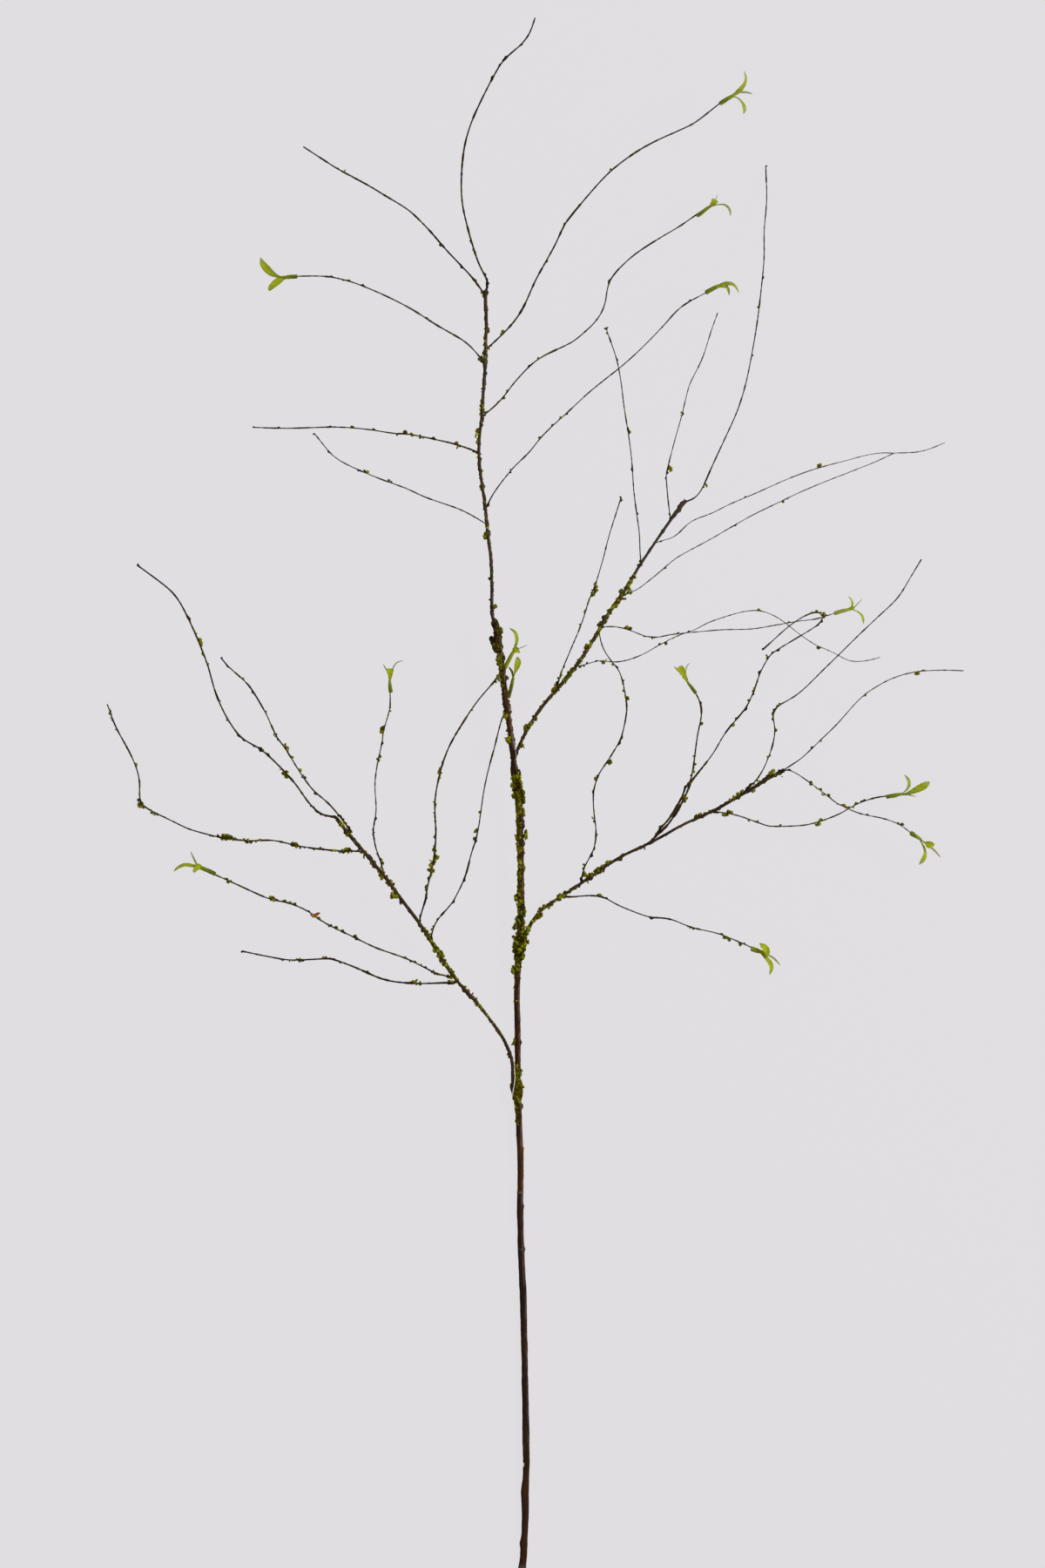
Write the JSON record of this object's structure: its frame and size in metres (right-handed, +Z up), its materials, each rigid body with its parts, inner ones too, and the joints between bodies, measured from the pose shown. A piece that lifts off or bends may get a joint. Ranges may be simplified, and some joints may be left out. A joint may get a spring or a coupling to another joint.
{
  "type": "branch",
  "caption": "Long mossy branch spray laid flat: a slim stem with a leader and side shoots, wiry twigs, moss clumps and small green leaf sprouts.",
  "frame": {"origin": "under the middle of the spray's box, on the surface that it lies on", "axes": "+Y from the cut end of the stem towards the leader's tip, +X towards the right-hand side shoots seen from above, +Z up from the surface"},
  "size_m": [0.687, 1.2451, 0.0886],
  "materials": {
    "stem_bark": "matt, dark brown with reddish patches, fine lengthwise ridges",
    "shoot_bark": "matt, grey-brown, rough with small nodes",
    "twig_wrap": "matt, wrapped twig wire with dark nodes",
    "sprout_leaf": "soft satin, yellow-green leaves on a darker olive sleeve",
    "moss": "crumbly, olive granules",
    "joint_socket": "matt, knobbly dark joint with moss on it",
    "glue": "whitish, slightly translucent set glue",
    "dry_flake": "matt, reddish-brown dry flake"
  },
  "bodies": {
    "root": {"main_stem": "stem_bark", "top_leader": "shoot_bark", "lateral_left": "shoot_bark", "lateral_right": "shoot_bark", "lateral_upper": "shoot_bark", "twig_01": "twig_wrap", "twig_02": "twig_wrap", "twig_03": "twig_wrap", "twig_04": "twig_wrap", "twig_05": "twig_wrap", "twig_06": "twig_wrap", "twig_07": "twig_wrap", "twig_08": "twig_wrap", "twig_09": "twig_wrap", "twig_10": "twig_wrap", "twig_11": "twig_wrap", "twig_12": "twig_wrap", "twig_13": "twig_wrap", "twig_14": "twig_wrap", "twig_15": "twig_wrap", "twig_16": "twig_wrap", "twig_17": "twig_wrap", "twig_18": "twig_wrap", "twig_19": "twig_wrap", "twig_20": "twig_wrap", "twig_21": "twig_wrap", "twig_22": "twig_wrap", "twig_23": "twig_wrap", "twig_24": "twig_wrap", "twig_25": "twig_wrap", "twig_26": "twig_wrap", "twig_27": "twig_wrap", "twig_28": "twig_wrap", "twig_29": "twig_wrap", "twig_30": "twig_wrap", "twig_31": "twig_wrap", "twig_32": "twig_wrap", "sprout_03": "sprout_leaf", "sprout_04": "sprout_leaf", "sprout_05": "sprout_leaf", "sprout_06": "sprout_leaf", "sprout_15": "sprout_leaf", "sprout_21": "sprout_leaf", "sprout_22": "sprout_leaf", "sprout_23": "sprout_leaf", "sprout_24": "sprout_leaf", "sprout_28": "sprout_leaf", "sprout_29": "sprout_leaf", "sprout_30": "sprout_leaf", "sprout_31": "sprout_leaf", "moss_sleeve_upper": "moss", "moss_collar_upper": "moss", "moss_fork_left": "moss", "top_socket": "joint_socket"}
  },
  "joints": []
}
